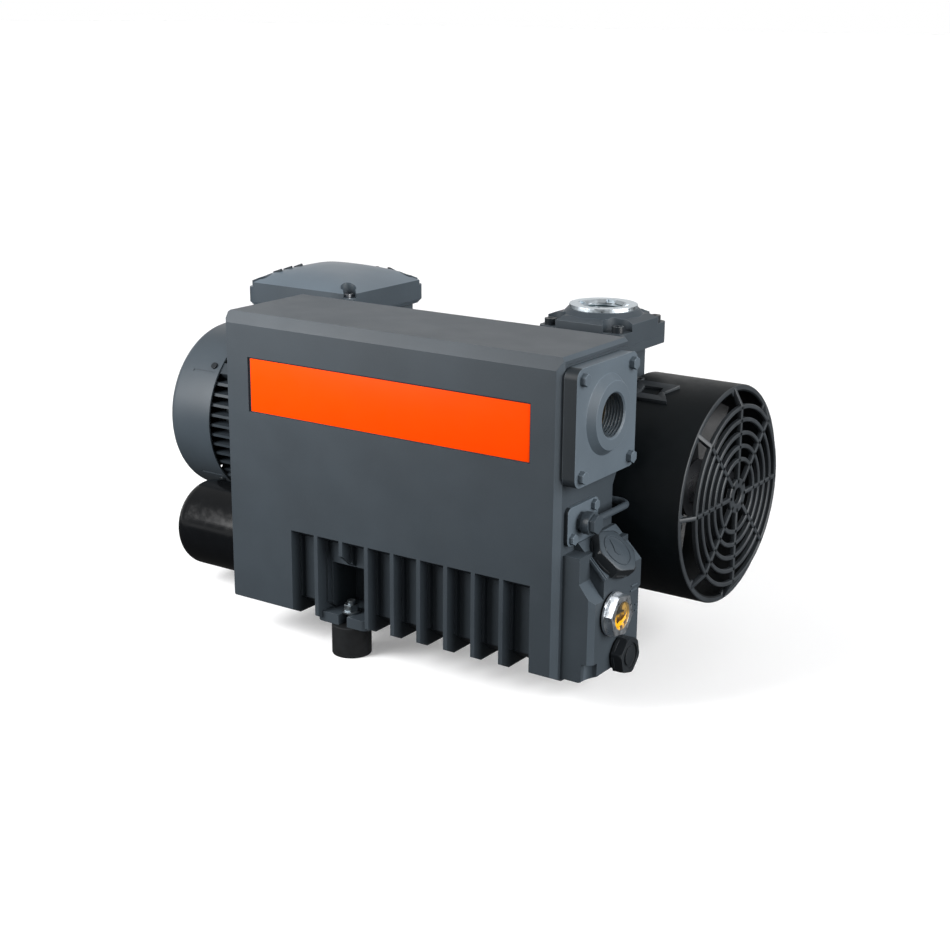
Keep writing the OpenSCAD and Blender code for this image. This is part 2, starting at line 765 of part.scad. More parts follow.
// ---------- coupling ----------
module coupling_housing() {
    color(casting) difference() {
        union() {
            on_shaft(shield_x1, -26, 70);
            translate([-26, shaft_y, shaft_z]) rotate([0, 90, 0]) cylinder(h = 66, r1 = 67, r2 = 63);
            on_shaft(40, plate_x0, 63);
        }
        on_shaft(shield_x1 - 1, 40, 52);
        on_shaft(39, 47, 38);
        on_shaft(46, plate_x0 + 1, 58.4);
        // openings above and below the coupling
        block([-14, 26], [shaft_y - 22, shaft_y + 22], [shaft_z + 40, shaft_z + 80]);
        block([-14, 26], [shaft_y - 22, shaft_y + 22], [shaft_z - 80, shaft_z - 40]);
    }
}

// Hub of a jaw coupling: three jaws point along X from the plane x1
module coupling_hub(x0, x1, jaw_x0, jaw_x1, bore, start) {
    difference() {
        union() {
            on_shaft(x0, x1, hub_r);
            around_shaft(3, start) intersection() {
                translate([jaw_x0, 0, 0]) rotate([0, 90, 0]) cylinder(h = jaw_x1 - jaw_x0, r = hub_r - 0.5);
                translate([jaw_x0, 14, -4.5]) cube([jaw_x1 - jaw_x0, 12, 9]);
            }
        }
        on_shaft(-40, 60, bore);
    }
}

module pump_coupling_hub() {
    color(iron) coupling_hub(15, 40, 3, 15.5, shaft_r + fit_gap, 0);
}

module motor_coupling_hub() {
    color(iron) coupling_hub(-28, 0, -0.5, 12, motor_shaft_r + fit_gap, 60);
}

// Elastic star that fills the gaps between the jaws
module coupling_spider() {
    color("crimson") difference() {
        union() {
            on_shaft(3.5, 11.5, 13.6);
            around_shaft(6, 30) translate([3.8, 12.6, -2.5]) cube([7.4, 11.4, 5]);
        }
        on_shaft(0, 20, 11);
    }
}

// ---------- motor ----------
module motor_end_shield() {
    color(casting) difference() {
        union() {
            on_shaft(shield_x0, shield_x1, 70);
            on_shaft(-66, shield_x0 + 1, 26);
            block([shield_x0, -35], [62, 72], [os_bottom, 110]);
            block([shield_x0, -35], [62, 100], [os_bottom, os_bottom + pad_t]);
        }
        on_shaft(-70, -50, 20);
        on_shaft(-51, shield_x1 + 1, 12);
        bar_z(os_bottom - 1, os_bottom + pad_t + 1, feet[1][0], feet[1][1], 3 + fit_gap);
    }
}

module motor_housing() {
    color(casting) difference() {
        union() {
            on_shaft(-200, shield_x0, housing_r);
            // parallel cooling fins on both sides
            intersection() {
                on_shaft(-208, shield_x0, 70);
                for (k = [-5 : 5]) block([-208, shield_x0], [shaft_y - 75, shaft_y + 75],
                    [shaft_z + k * fin_pitch - 1.1, shaft_z + k * fin_pitch + 1.1]);
            }
            // lugs that take the cowl's screws
            at_angles(cowl_screw_angles) translate([-214, 50, -5]) cube([22, cowl_r - 1.6 - 50, 10]);
            // saddle under the terminal box
            block([box_x - 36, box_x + 36], [box_y - 30, box_y + 30], [shaft_z + 20, box_z0]);
        }
        on_shaft(-220, shield_x0 + 1, 50);
        at_angles(cowl_screw_angles) translate([-211, 60, 0]) rotate([-90, 0, 0])
            cylinder(h = 20, r = 2 + fit_gap);
    }
}

module motor_rear_shield() {
    color(casting) difference() {
        union() {
            on_shaft(-200, -190, 49.9);
            on_shaft(-194, -176, 26);
        }
        on_shaft(-188, -170, 20);
        on_shaft(-201, -180, 11);
    }
}

module stator_core() {
    color(iron) shaft_ring(-168, -84, 49.9, 31.6);
}

module stator_windings() {
    color("chocolate") {
        shaft_ring(-181, -168, 47, 34);
        shaft_ring(-84, -70, 47, 34);
    }
}

module motor_rotor() {
    color(steel) {
        on_shaft(-166, -86, 31);
        on_shaft(-238, -1, motor_shaft_r);
        on_shaft(-172, -165, 24);
        on_shaft(-87, -80, 24);
    }
}

module motor_bearings() {
    color(steel) {
        shaft_ring(-188, -176, 20, motor_shaft_r + fit_gap);
        shaft_ring(-64, -52, 20, motor_shaft_r + fit_gap);
    }
}

// Radial fan with straight blades, on the motor shaft's rear end
module motor_fan() {
    color(dark) difference() {
        union() {
            on_shaft(-240, -218, 15);
            on_shaft(-222, -219, 60);
            around_shaft(8) translate([-240, 14, -1.2]) cube([20, 48, 2.4]);
        }
        on_shaft(-245, -215, motor_shaft_r + fit_gap);
    }
}

module motor_fan_cowl() {
    edge_r = 6;
    wall = 1.5;
    color(casting) difference() {
        union() {
            on_shaft(cowl_x0 + edge_r, cowl_x1, cowl_r);
            on_shaft(cowl_x0, cowl_x0 + edge_r + 1, cowl_r - edge_r);
            translate([cowl_x0 + edge_r, shaft_y, shaft_z]) rotate([0, 90, 0])
                rotate_extrude() translate([cowl_r - edge_r, 0]) circle(r = edge_r);
        }
        on_shaft(cowl_x0 + 2, cowl_x1 + 1, cowl_r - edge_r);
        on_shaft(cowl_x0 + edge_r, cowl_x1 + 1, cowl_r - wall);
        // air intake slots in rings around the shaft
        for (ring = [0 : 3]) around_shaft(8, ring * 22.5 / 2)
            translate([cowl_x0 - 1, 18 + ring * 12, -5 - ring * 3]) cube([4, 6, 10 + ring * 6]);
        // short axial grooves pressed into the side
        at_angles(cowl_groove_angles) translate([-232, cowl_r - 0.6, -1]) cube([24, 2, 2]);
        at_angles(cowl_screw_angles) translate([-211, 60, 0]) rotate([-90, 0, 0])
            cylinder(h = 20, r = 2 + fit_gap);
    }
}

module cowl_screws() {
    color(steel) at_angles(cowl_screw_angles) translate([-211, cowl_r, 0]) rotate([-90, 0, 0]) {
        cylinder(h = 1.8, r = 2.9);
        translate([0, 0, -10]) cylinder(h = 10.5, r = 2);
    }
}

// ---------- terminal box ----------
box_half = [47.5, 43];
lid_half = [54.5, 50];
lid_z0 = 230;
lid_screws = [for (x = [-44, 44], y = [-39.5, 39.5]) [box_x + x, box_y + y]];

// Outline of the lid's side: straight walls over an edge drawn in towards the box
function lid_side(c, half) = [
    [c - half + 3.6, lid_z0], [c + half - 3.6, lid_z0], [c + half, lid_z0 + 3.6],
    [c + half, 265], [c - half, 265], [c - half, lid_z0 + 3.6]
];

module terminal_box() {
    color(casting) difference() {
        block([box_x - box_half[0], box_x + box_half[0]], [box_y - box_half[1], box_y + box_half[1]],
              [box_z0, lid_z0]);
        difference() {
            block([box_x - box_half[0] + 4, box_x + box_half[0] - 4],
                  [box_y - box_half[1] + 4, box_y + box_half[1] - 4], [box_z0 + 5, lid_z0 + 1]);
            for (s = lid_screws) bar_z(box_z0, lid_z0 + 2, s[0], s[1], 6);
        }
        for (s = lid_screws) bar_z(214, lid_z0 + 1, s[0], s[1], 2 + fit_gap);
        bar_y(box_y + box_half[1] - 5, box_y + box_half[1] + 1, box_x, gland_z, 8 + fit_gap);
    }
}

// Pillow-shaped lid: two crossing cylinders make the crown over straight sides
module terminal_box_lid() {
    crown_x = 116.8;
    crown_y = 99.3;
    apex = 263.5;
    color([0.36, 0.39, 0.41]) difference() {
        intersection() {
            front_profile(box_y - lid_half[1], box_y + lid_half[1], lid_side(box_x, lid_half[0]));
            side_profile(box_x - lid_half[0], box_x + lid_half[0], lid_side(box_y, lid_half[1]));
            bar_x(box_x - 60, box_x + 60, box_y, apex - crown_y, crown_y);
            bar_y(box_y - 60, box_y + 60, box_x, apex - crown_x, crown_x);
        }
        block([box_x - 37, box_x + 37], [box_y - 32, box_y + 32], [lid_z0 - 1, 249]);
        for (s = lid_screws) {
            bar_z(246, 265, s[0], s[1], 6.5);
            bar_z(lid_z0 - 1, 265, s[0], s[1], 2 + fit_gap);
            // the recess opens towards the corner of the lid
            translate([s[0], s[1], 246]) rotate([0, 0, atan2(sign(s[1] - box_y), sign(s[0] - box_x))])
                translate([0, -5, 0]) cube([16, 10, 20]);
        }
    }
}

module terminal_box_screws() {
    color(steel) for (s = lid_screws) {
        bar_z(246, 248.4, s[0], s[1], 3.8);
        bar_z(216, 246.1, s[0], s[1], 2);
    }
}

module cable_gland() {
    color(dark) translate([box_x, box_y + box_half[1], gland_z]) rotate([-90, 0, 0]) difference() {
        union() {
            translate([0, 0, -8]) cylinder(h = 9, r = 8);
            hex(22, 6);
            translate([0, 0, 6]) cylinder(h = 3, r = 10);
            translate([0, 0, 9]) hex(22, 10);
            translate([0, 0, 19]) cylinder(h = 4, r1 = 10.5, r2 = 8);
        }
        translate([0, 0, -9]) cylinder(h = 40, r = 5);
    }
}

// ---------- cooling fan ----------
module axial_fan() {
    tip_r = 73;
    color(dark) difference() {
        union() {
            on_shaft(190, 216, 22);
            around_shaft(blade_count) intersection() {
                translate([204, 46, 0]) rotate([0, 40, 0]) cube([28, 58, 3], center = true);
                translate([180, 0, 0]) rotate([0, 90, 0]) cylinder(h = 60, r = tip_r);
            }
        }
        on_shaft(185, 220, shaft_r + fit_gap);
    }
}

// Hood with its grille: rings and spokes stand proud of the rim
module fan_hood() {
    bar = 3.2;
    ring_step = (grille_r - grille_hub_r - 6) / ring_count;
    color(dark) {
        shaft_ring(hood_x0, hood_x1, hood_r, hood_r - hood_t);
        shaft_ring(hood_x1 - 2.5, hood_x1, hood_r - hood_t + 0.5, hood_r - 5);
        // inner lugs that seat on the end plate
        around_shaft(4, 45) difference() {
            translate([hood_x0, plate_r - 2, -6]) cube([6, hood_r - hood_t + 1 - plate_r + 2, 12]);
            translate([hood_x0 - 1, 0, 0]) rotate([0, 90, 0]) cylinder(h = 8, r = plate_r);
        }
        difference() {
            union() {
                for (i = [0 : ring_count - 1])
                    shaft_ring(grille_x - 3.6, grille_x, grille_r - i * ring_step,
                               grille_r - i * ring_step - bar);
                on_shaft(grille_x - 3.6, grille_x, grille_hub_r);
                around_shaft(spoke_count) {
                    translate([grille_x - 3.6, 8, -bar / 2]) cube([3.6, grille_r - 9, bar]);
                    // outer end of the spoke slopes down to the rim
                    translate([0, 0, -bar / 2]) linear_extrude(bar) polygon([
                        [grille_x - 3.6, grille_r - 2], [grille_x, grille_r - 2],
                        [hood_x1, hood_r - 0.6], [hood_x1 - 4, hood_r - 0.6]
                    ]);
                    translate([hood_x1 - 3, hood_r - 5, -3.2]) cube([3, 4, 6.4]);
                }
            }
            on_shaft(grille_x - 5, grille_x + 1, 6);
        }
        // moulded clip on the hood's upper front: a plate with a window and a notched end
        around_shaft(1, 112) {
            difference() {
                translate([hood_x0 + 5.6, hood_r - 1.5, -10.9]) cube([33, 4, 21.8]);
                translate([hood_x0 + 13, hood_r - 2, -4.5]) cube([15, 6, 9]);
                translate([hood_x0 + 32, hood_r - 2, 0]) rotate([0, 45, 0]) cube([12, 6, 12]);
            }
            translate([hood_x0 + 4, hood_r - 1.5, -13]) rotate([-90, 0, 0]) difference() {
                cylinder(h = 4.5, r = 3.6);
                cylinder(h = 6, r = 1.8);
            }
        }
    }
}

// ---------- feet ----------
module rubber_feet() {
    color(dark) for (f = feet) difference() {
        bar_z(0, os_bottom, f[0], f[1], foot_r);
        bar_z(-1, 8, f[0], f[1], foot_tap_r);
        bar_z(14, os_bottom + 1, f[0], f[1], 3);
    }
}

module foot_bolts() {
    color(steel) for (f = feet) translate([f[0], f[1], 0]) {
        translate([0, 0, 14]) cylinder(h = 27.5, r = 3);
        difference() {
            union() {
                translate([0, 0, os_bottom + pad_t]) cylinder(h = 1.6, r = 7);
                translate([0, 0, os_bottom + pad_t + 1.6]) hex(10, 5);
            }
            translate([0, 0, 20]) cylinder(h = 30, r = 2.9);
        }
    }
}

oil_separator_housing();
label_plate();
exhaust_cover();
exhaust_cover_gasket();
exhaust_cover_bolts();
exhaust_filter();
service_cover();
service_cover_bolts();
banjo_fitting();
oil_return_pipe();
oil_fill_plug();
oil_port_seals();
sight_glass_body();
sight_glass_lens();
oil_drain_plug();
float();
float_bracket();
pump_cylinder();
motor_side_end_plate();
fan_side_end_plate();
end_plate_bolts();
rotor();
vane_1();
vane_2();
vane_3();
shaft_bushes();
shaft_seals();
exhaust_valve_reed();
exhaust_valve_stop();
inlet_flange();
inlet_flange_screws();
inlet_thread_ring();
inlet_screen();
inlet_valve_disc();
inlet_valve_spring();
oil_filter_head();
oil_filter();
coupling_housing();
pump_coupling_hub();
coupling_spider();
motor_coupling_hub();
motor_end_shield();
motor_housing();
motor_rear_shield();
stator_core();
stator_windings();
motor_rotor();
motor_bearings();
motor_fan();
motor_fan_cowl();
cowl_screws();
terminal_box();
terminal_box_lid();
terminal_box_screws();
cable_gland();
axial_fan();
fan_hood();
rubber_feet();
foot_bolts();
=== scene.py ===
import json
import math

import bmesh
import bpy
from mathutils import Matrix, Vector

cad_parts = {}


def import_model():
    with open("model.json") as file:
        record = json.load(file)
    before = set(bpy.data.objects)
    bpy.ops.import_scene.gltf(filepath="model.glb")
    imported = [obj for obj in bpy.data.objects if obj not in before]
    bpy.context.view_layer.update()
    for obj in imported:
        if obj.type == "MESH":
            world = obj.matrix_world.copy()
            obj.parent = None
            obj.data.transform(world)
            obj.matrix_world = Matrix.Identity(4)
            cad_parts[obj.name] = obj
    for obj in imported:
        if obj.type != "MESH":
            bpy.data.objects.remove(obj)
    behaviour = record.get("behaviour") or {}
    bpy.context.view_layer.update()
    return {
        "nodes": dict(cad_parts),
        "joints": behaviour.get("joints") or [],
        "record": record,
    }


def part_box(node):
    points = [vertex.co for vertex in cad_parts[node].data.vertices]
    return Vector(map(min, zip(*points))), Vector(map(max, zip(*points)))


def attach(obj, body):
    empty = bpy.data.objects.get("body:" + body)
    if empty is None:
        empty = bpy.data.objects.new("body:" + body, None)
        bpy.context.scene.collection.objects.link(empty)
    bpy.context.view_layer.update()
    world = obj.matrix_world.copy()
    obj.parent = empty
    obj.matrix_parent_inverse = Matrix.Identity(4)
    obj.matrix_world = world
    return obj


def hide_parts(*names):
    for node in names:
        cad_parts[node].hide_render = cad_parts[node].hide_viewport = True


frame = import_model()
NODES = frame["nodes"]
BODIES = frame["record"]["behaviour"]["bodies"]
BODY_OF = {n: b for b, nodes in BODIES.items() for n in nodes}
JOINTS = {j["name"]: j for j in frame["joints"]}
MM = 0.001


def in_mm(point):
    return [round(v / MM, 3) for v in point]


def box(node):
    """Lowest and highest corner of a CAD node, in mm."""
    return [in_mm(corner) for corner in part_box(node)]


def middle(low, high):
    return [(a + b) / 2 for a, b in zip(low, high)]


# Y and Z, in mm, of the two axes that run along X
SHAFT = in_mm(JOINTS["pump_spin"]["pos_m"])[1:]
EXHAUST = (-82.2, 208.3)


# ---------------------------------------------------------------- materials
class Shader:
    """A Principled material with short names for the nodes that build its detail."""

    def __init__(self, name, color, rough, metal=0.0, coat=0.0, spec=0.5):
        self.mat = bpy.data.materials.new(name)
        self.mat.use_nodes = True
        self.tree = self.mat.node_tree
        self.bsdf = self.tree.nodes["Principled BSDF"]
        self.coord = self.tree.nodes.new("ShaderNodeTexCoord").outputs["Object"]
        self.normal = None
        self.set("Base Color", (*color, 1.0))
        self.set("Roughness", rough)
        self.set("Metallic", metal)
        self.set("Specular IOR Level", spec)
        self.set("Coat Weight", coat)
        self.set("Coat Roughness", 0.12)

    def set(self, socket, value):
        if isinstance(value, bpy.types.NodeSocket):
            self.tree.links.new(value, self.bsdf.inputs[socket])
        else:
            self.bsdf.inputs[socket].default_value = value

    def node(self, kind, inputs, **settings):
        n = self.tree.nodes.new(kind)
        for k, v in settings.items():
            setattr(n, k, v)
        for k, v in inputs.items():
            if isinstance(v, bpy.types.NodeSocket):
                self.tree.links.new(v, n.inputs[k])
            else:
                n.inputs[k].default_value = v
        return n

    def noise(self, size, detail=2.0, rough=0.5, stretch=(1, 1, 1)):
        """Noise whose blotches are about `size` metres across."""
        v = self.node("ShaderNodeMapping", {"Vector": self.coord, "Scale": stretch}).outputs[0]
        n = self.node("ShaderNodeTexNoise",
                      {"Vector": v, "Scale": 1 / size, "Detail": detail, "Roughness": rough})
        return n.outputs["Fac"]

    def cells(self, size):
        """Random colour for each cell of about `size` metres."""
        n = self.node("ShaderNodeTexVoronoi", {"Vector": self.coord, "Scale": 1 / size})
        return n.outputs["Color"]

    def height(self):
        """Height above the floor, in metres."""
        return self.node("ShaderNodeSeparateXYZ", {"Vector": self.coord}).outputs["Z"]

    def bands(self, size, axis, distortion):
        """Parallel bands with a pitch of `size` metres."""
        n = self.node("ShaderNodeTexWave",
                      {"Vector": self.coord, "Scale": 0.314 / size, "Distortion": distortion},
                      wave_type="BANDS", bands_direction=axis)
        return n.outputs["Fac"]

    def range(self, fac, lo, hi, new_lo=0.0, new_hi=1.0):
        n = self.node("ShaderNodeMapRange", {"Value": fac, "From Min": lo, "From Max": hi,
                                             "To Min": new_lo, "To Max": new_hi})
        return n.outputs[0]

    def times(self, a, b):
        return self.node("ShaderNodeMath", {0: a, 1: b}, operation="MULTIPLY").outputs[0]

    def mix(self, fac, a, b):
        n = self.tree.nodes.new("ShaderNodeMix")
        n.data_type = "RGBA"
        for i, v in ((0, fac), (6, a), (7, b)):
            if isinstance(v, bpy.types.NodeSocket):
                self.tree.links.new(v, n.inputs[i])
            else:
                n.inputs[i].default_value = v if i == 0 else (*v, 1.0)
        return n.outputs[2]

    def blotches(self, size, a, b, detail=4, lo=0.3, hi=0.7, most=1.0):
        """Colour that drifts from `a` towards `b` in blotches about `size` metres across."""
        return self.mix(self.range(self.noise(size, detail), lo, hi, 0.0, most), a, b)

    def vary_rough(self, size, low, high, detail=4, lo=0.3, hi=0.7):
        """Roughness that drifts between `low` and `high`."""
        self.set("Roughness", self.range(self.noise(size, detail), lo, hi, low, high))

    def bump(self, height, depth, strength=1.0):
        inputs = {"Height": height, "Distance": depth, "Strength": strength}
        if self.normal is not None:
            inputs["Normal"] = self.normal
        self.normal = self.node("ShaderNodeBump", inputs).outputs[0]
        self.set("Normal", self.normal)
        return self

    def facing_up(self):
        """1 on surfaces that face up, 0 on walls."""
        g = self.tree.nodes.new("ShaderNodeNewGeometry")
        s = self.node("ShaderNodeSeparateXYZ", {"Vector": g.outputs["Normal"]})
        return self.range(s.outputs["Z"], 0.5, 1.0)


def scaled(c, k):
    return tuple(min(1.0, x * k) for x in c)


def cast_paint(name, color, rough=0.45, depth=0.00003, dust=0.2, spec=0.3):
    """Sprayed paint over a sand casting: orange peel, faint casting waves, dust on top."""
    s = Shader(name, color, rough, spec=spec)
    base = s.blotches(0.05, scaled(color, 0.92), scaled(color, 1.10))
    specks = s.times(s.range(s.noise(0.0012), 0.55, 0.75), 0.2)
    base = s.mix(specks, base, scaled(color, 1.35))
    base = s.mix(s.times(s.facing_up(), dust), base, scaled(color, 1.5))
    s.set("Base Color", base)
    s.vary_rough(0.03, rough - 0.02, rough + 0.03, 3)
    s.bump(s.noise(0.03), depth * 2, 0.4)
    s.bump(s.noise(0.0011, 2, 0.6), depth)
    return s.mat


def plastic(name, color, rough, spec=0.4):
    """Moulded plastic with a fine etched grain and faint flow marks."""
    s = Shader(name, color, rough, spec=spec)
    s.set("Base Color", s.blotches(0.02, scaled(color, 0.85), scaled(color, 1.2)))
    s.vary_rough(0.01, rough - 0.04, rough + 0.05)
    s.bump(s.noise(0.0004), 0.00002)
    return s.mat


def gloss_paint(name, color, rough):
    """Gloss lacquer over pressed sheet: slow ripples and a few dull specks."""
    s = Shader(name, color, rough, spec=0.22)
    s.set("Base Color", s.blotches(0.03, scaled(color, 0.8), scaled(color, 1.3), 3))
    s.vary_rough(0.006, rough, rough + 0.12, 4, 0.45, 0.8)
    s.bump(s.noise(0.02), 0.00010, 0.3)
    s.bump(s.noise(0.0009, 1), 0.000006)
    return s.mat


def rubber(name, color, rough):
    """Moulded rubber with a dusty bloom."""
    s = Shader(name, color, rough, spec=0.25)
    s.set("Base Color", s.blotches(0.006, color, scaled(color, 2.0), 5, 0.35, 0.75))
    s.bump(s.noise(0.0008, 3), 0.00004)
    return s.mat


def metal(name, color, rough, lines=0.0, axis="X", cut=0.06):
    """Bare or plated metal. `lines` is the pitch of turning or brushing marks."""
    s = Shader(name, color, rough, metal=1.0)
    s.set("Base Color", s.blotches(0.004, color, scaled(color, 0.55), 5, 0.35, 0.8, 0.3))
    s.vary_rough(0.0025, rough * 0.75, rough * 1.35)
    if lines:
        s.bump(s.bands(lines, axis, 0.4), lines * cut)
    s.bump(s.noise(0.0007), 0.000005)
    return s.mat


def iron(name, color, rough):
    """Machined grey iron."""
    s = Shader(name, color, rough, metal=0.75)
    s.set("Base Color", s.blotches(0.008, color, scaled(color, 1.7), 6, 0.35, 0.75))
    s.bump(s.noise(0.0015, 4, 0.7), 0.00008)
    return s.mat


def film(name, color):
    """Printed plastic film over the plate of the label."""
    s = Shader(name, color, 0.5, spec=0.03)
    s.set("Base Color", s.blotches(0.03, scaled(color, 0.95), color, 3))
    s.vary_rough(0.01, 0.34, 0.46, 3)
    s.bump(s.noise(0.0006), 0.000008)
    return s.mat


def laminated(name, color, sheet, metallic):
    """Stacked sheets or layers seen on edge."""
    s = Shader(name, color, 0.45, metal=metallic)
    edge = s.bands(sheet, "X", 0.2)
    s.set("Base Color", s.mix(s.range(edge, 0.2, 0.8), scaled(color, 0.55), scaled(color, 1.15)))
    s.vary_rough(0.003, 0.38, 0.56, 3)
    s.bump(edge, sheet * 0.1)
    return s.mat


def felt(name, color):
    """Pressed fibres."""
    s = Shader(name, color, 0.9, spec=0.1)
    fluff = s.range(s.noise(0.0016, 6, 0.7), 0.35, 0.7)
    s.set("Base Color", s.mix(fluff, scaled(color, 0.6), color))
    s.bump(s.noise(0.0008, 5, 0.8, (1, 4, 4)), 0.0002)
    return s.mat


def oil_view(name):
    """Oil seen through the sight glass: amber below the level, dark above, behind clear glass."""
    s = Shader(name, (0.5, 0.3, 0.02), 0.06, spec=0.6, coat=1.0)
    facet = s.node("ShaderNodeSeparateColor", {"Color": s.cells(0.0036)}).outputs[0]
    level, blur = 0.0725, 0.002
    below = s.range(s.height(), level + blur, level - blur)
    oil = s.mix(s.range(facet, 0.35, 0.5), (0.85, 0.42, 0.01), (0.06, 0.025, 0.004))
    air = s.mix(s.range(facet, 0.45, 0.6), (0.03, 0.028, 0.022), (0.36, 0.22, 0.06))
    s.set("Base Color", s.mix(below, air, oil))
    s.bump(s.noise(0.004), 0.00004)
    return s.mat


# the coat of the castings; the other painted pieces are lighter or darker shades of it, and some of
# these shades are painted light: the lighter edge paints are painted highlight and the darkest cover
# paint is painted shade
GREY = (0.0300, 0.0385, 0.0465)
MATS = {
    "casting": cast_paint("painted_casting", GREY),
    # lighter copies of the casting and cover paints: painted highlight on rounded edges and slanting
    # faces
    "casting_painted_highlight": cast_paint("casting_highlight_paint", scaled(GREY, 1.6), 0.38),
    "cover": cast_paint("painted_cover", scaled(GREY, 2.3), spec=0.4),
    "cover_painted_highlight": cast_paint("cover_highlight_paint", scaled(GREY, 3.0), 0.38),
    # the darkest cover paint is painted shade, on the covers' sides and the lid's ribs
    "cover_painted_shade": cast_paint("cover_shade_paint", scaled(GREY, 0.45), 0.5, spec=0.2),
    "finned": cast_paint("painted_fins", scaled(GREY, 0.9), 0.42),
    "cowl": cast_paint("painted_cowl", scaled(GREY, 1.35), 0.36, depth=0.00001, dust=0.1, spec=0.5),
    # the lid paint is lighter than its walls' paint: a painted highlight on the lid's top
    "lid": cast_paint("painted_lid", scaled(GREY, 2.5), 0.38, depth=0.00001, dust=0.1, spec=0.5),
    "fitting": cast_paint("painted_fitting", scaled(GREY, 1.25), 0.35, depth=0.00002),
    "dark_screw": cast_paint("painted_screw", scaled(GREY, 0.35), 0.35, depth=0.00002),
    "hood": plastic("hood_plastic", (0.0030, 0.0045, 0.0056), 0.45, spec=0.2),
    "grille": plastic("grille_plastic", (0.022, 0.026, 0.030), 0.45),
    "fan": plastic("fan_plastic", (0.010, 0.011, 0.013), 0.4),
    "plug": plastic("plug_plastic", (0.012, 0.0145, 0.017), 0.36, spec=0.35),
    # the dark sheet under the label is painted shade of the gap round the film, drawn with the rubber
    # shader
    "gap": rubber("label_gap_shade", (0.004, 0.005, 0.006), 0.6),
    "can": gloss_paint("filter_lacquer", (0.003, 0.0034, 0.004), 0.16),
    "label": film("label_film", (0.90, 0.056, 0.001)),
    "rubber": rubber("black_rubber", (0.003, 0.0036, 0.0042), 0.7),
    "spider": rubber("red_elastomer", (0.4, 0.03, 0.02), 0.5),
    "zinc": metal("zinc_plate", (0.60, 0.66, 0.70), 0.34, 0.0012, "Z", cut=0.004),
    "thread": metal("dark_thread", (0.025, 0.055, 0.065), 0.45),
    "nickel": metal("nickel_plate", (0.72, 0.76, 0.80), 0.33),
    "steel": metal("bright_steel", (0.60, 0.61, 0.63), 0.28, 0.0003),
    "old_zinc": metal("dull_zinc", (0.22, 0.25, 0.27), 0.38),
    "iron": iron("machined_iron", (0.16, 0.16, 0.165), 0.5),
    "bronze": metal("bronze", (0.62, 0.42, 0.20), 0.3, 0.0004),
    "brass": metal("brass", (0.75, 0.55, 0.22), 0.25),
    "composite": laminated("vane_composite", (0.16, 0.075, 0.03), 0.0008, 0.0),
    "sheets": laminated("core_sheets", (0.30, 0.30, 0.31), 0.001, 0.9),
    "felt": felt("filter_felt", (0.62, 0.56, 0.44)),
    "copper": metal("enamelled_copper", (0.55, 0.20, 0.08), 0.25),
    "oil": oil_view("oil_behind_glass"),
}


# ---------------------------------------------------------------- geometry helpers
def link(name, data):
    """Puts a new object into the scene."""
    obj = bpy.data.objects.new(name, data)
    bpy.context.scene.collection.objects.link(obj)
    return obj


def piece(name, mesh_or_bm, body, mat, smooth=35.0):
    """Makes an object from a mesh or bmesh, riding on a body."""
    if isinstance(mesh_or_bm, bmesh.types.BMesh):
        mesh = bpy.data.meshes.new(name)
        mesh_or_bm.to_mesh(mesh)
        mesh_or_bm.free()
    else:
        mesh = mesh_or_bm
    mesh.materials.append(MATS[mat])
    obj = link(name, mesh)
    mesh.shade_smooth()
    mesh.set_sharp_from_angle(angle=math.radians(smooth))
    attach(obj, body)
    return obj


def instead_of(obj, node):
    """Shows a piece in place of a CAD node."""
    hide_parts(node)


def soften(bm, width, segments=2, slot=-1):
    """Rounds the sharp edges; `slot` is the material of the new faces."""
    sharp = math.radians(25)
    edges = [e for e in bm.edges if len(e.link_faces) == 2 and e.calc_face_angle(0) > sharp]
    bmesh.ops.bevel(bm, geom=edges, offset=width, segments=segments, profile=0.5,
                    affect="EDGES", clamp_overlap=True, miter_outer="ARC", material=slot)


def even_shading(obj):
    """Normals weighted by face area, so that flat faces stay flat next to their rounded edges."""
    mod = obj.modifiers.new("weighted", "WEIGHTED_NORMAL")
    mod.mode = "FACE_AREA"
    mod.weight = 100
    mod.keep_sharp = True
    bake(obj)


def bake(obj):
    """Replaces a mesh with the result of its modifiers."""
    graph = bpy.context.evaluated_depsgraph_get()
    mesh = bpy.data.meshes.new_from_object(obj.evaluated_get(graph))
    obj.modifiers.clear()
    obj.data = mesh


def rounded(node, width, mat):
    """A copy of a CAD node with its sharp edges rounded, shown in its place."""
    weld, flat = 2e-6, math.radians(0.6)
    bm = bmesh.new()
    bm.from_mesh(NODES[node].data)
    bmesh.ops.remove_doubles(bm, verts=bm.verts, dist=weld)
    bmesh.ops.dissolve_limit(bm, angle_limit=flat, verts=bm.verts, edges=bm.edges)
    # castings and covers take the lighter paint on their rounded edges: a painted highlight
    highlit_edges = mat in ("casting", "cover")
    soften(bm, width, slot=1 if highlit_edges else -1)
    obj = piece(node + "_rounded", bm, BODY_OF[node], mat)
    if highlit_edges:
        obj.data.materials.append(MATS[mat + "_painted_highlight"])
    even_shading(obj)
    instead_of(obj, node)
    return obj


def finish_node(node, mat):
    """Gives a CAD node its material and leaves its shape alone."""
    o = NODES[node]
    o.data.materials.clear()
    o.data.materials.append(MATS[mat])


def frame_at(origin, axis, up=(0, 0, 1)):
    """Matrix whose Z runs along `axis` and whose Y leans towards `up`; origin in mm."""
    z = Vector(axis).normalized()
    x = Vector(up).cross(z)
    if x.length < 1e-6:
        x = Vector((1, 0, 0))
    x.normalize()
    m = Matrix((x, z.cross(x), z)).transposed().to_4x4()
    m.translation = Vector(origin) * MM
    return m


def grid_faces(bm, rows, closed):
    """Faces between rows of vertices; each row closes on itself if `closed`."""
    for a, b in zip(rows, rows[1:]):
        n = len(a)
        for i in range(n if closed else n - 1):
            j = (i + 1) % n
            bm.faces.new((a[i], a[j], b[j], b[i]))


